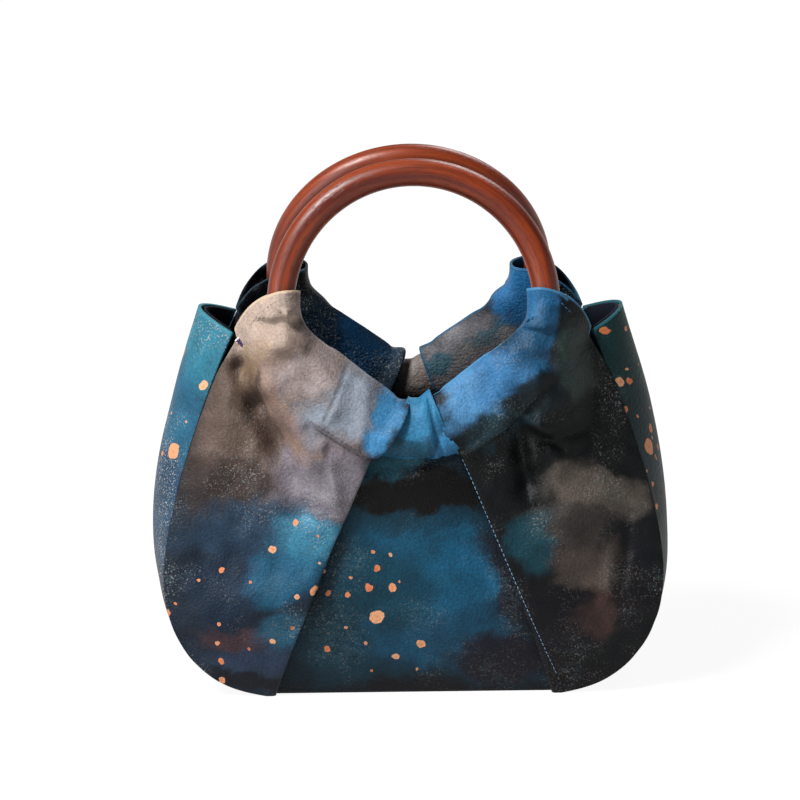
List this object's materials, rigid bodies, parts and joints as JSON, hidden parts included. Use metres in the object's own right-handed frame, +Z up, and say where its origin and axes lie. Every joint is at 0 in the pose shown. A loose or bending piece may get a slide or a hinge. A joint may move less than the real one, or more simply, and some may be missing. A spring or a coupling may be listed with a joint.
{
  "type": "handbag with two wooden ring handles",
  "caption": "Soft pleated cloth handbag that stands on a flat base, with two round wooden rings held in cloth sleeves as its handles.",
  "frame": {"origin": "on the surface that the bag stands on, under the middle of its base", "axes": "+X to the viewer's right across the front, the front faces -Y, +Z up"},
  "size_m": [0.272, 0.1196, 0.2791],
  "materials": {
    "ring_wood": "polished reddish brown wood, clear gloss",
    "left_panel_cloth": "woven cloth, hand dyed look, taupe to teal with plum",
    "right_panel_cloth": "woven cloth, hand dyed look, near black green with taupe clouds",
    "centre_panel_cloth": "woven cloth, hand dyed look, teal blue with orange spots",
    "sleeve_cloth": "woven cloth, hand dyed look, sky blue fading to dark green",
    "gusset_cloth": "woven cloth, hand dyed look, teal with pale specks",
    "base_cloth": "stiffened woven cloth, dark",
    "lining_cloth": "plain dark navy lining, matt"
  },
  "bodies": {
    "root": {"front_ring": "ring_wood", "front_left_panel": "left_panel_cloth", "front_left_casing": "sleeve_cloth", "front_centre_panel": "centre_panel_cloth", "front_centre_casing": "sleeve_cloth", "front_right_panel": "right_panel_cloth", "front_right_casing": "sleeve_cloth", "back_ring": "ring_wood", "back_left_panel": "left_panel_cloth", "back_left_casing": "sleeve_cloth", "back_centre_panel": "centre_panel_cloth", "back_centre_casing": "sleeve_cloth", "back_right_panel": "right_panel_cloth", "back_right_casing": "sleeve_cloth", "left_gusset": "gusset_cloth", "left_lining": "lining_cloth", "right_gusset": "gusset_cloth", "right_lining": "lining_cloth", "base": "base_cloth", "front_lining": "lining_cloth", "back_lining": "lining_cloth", "base_lining": "lining_cloth"}
  },
  "joints": []
}
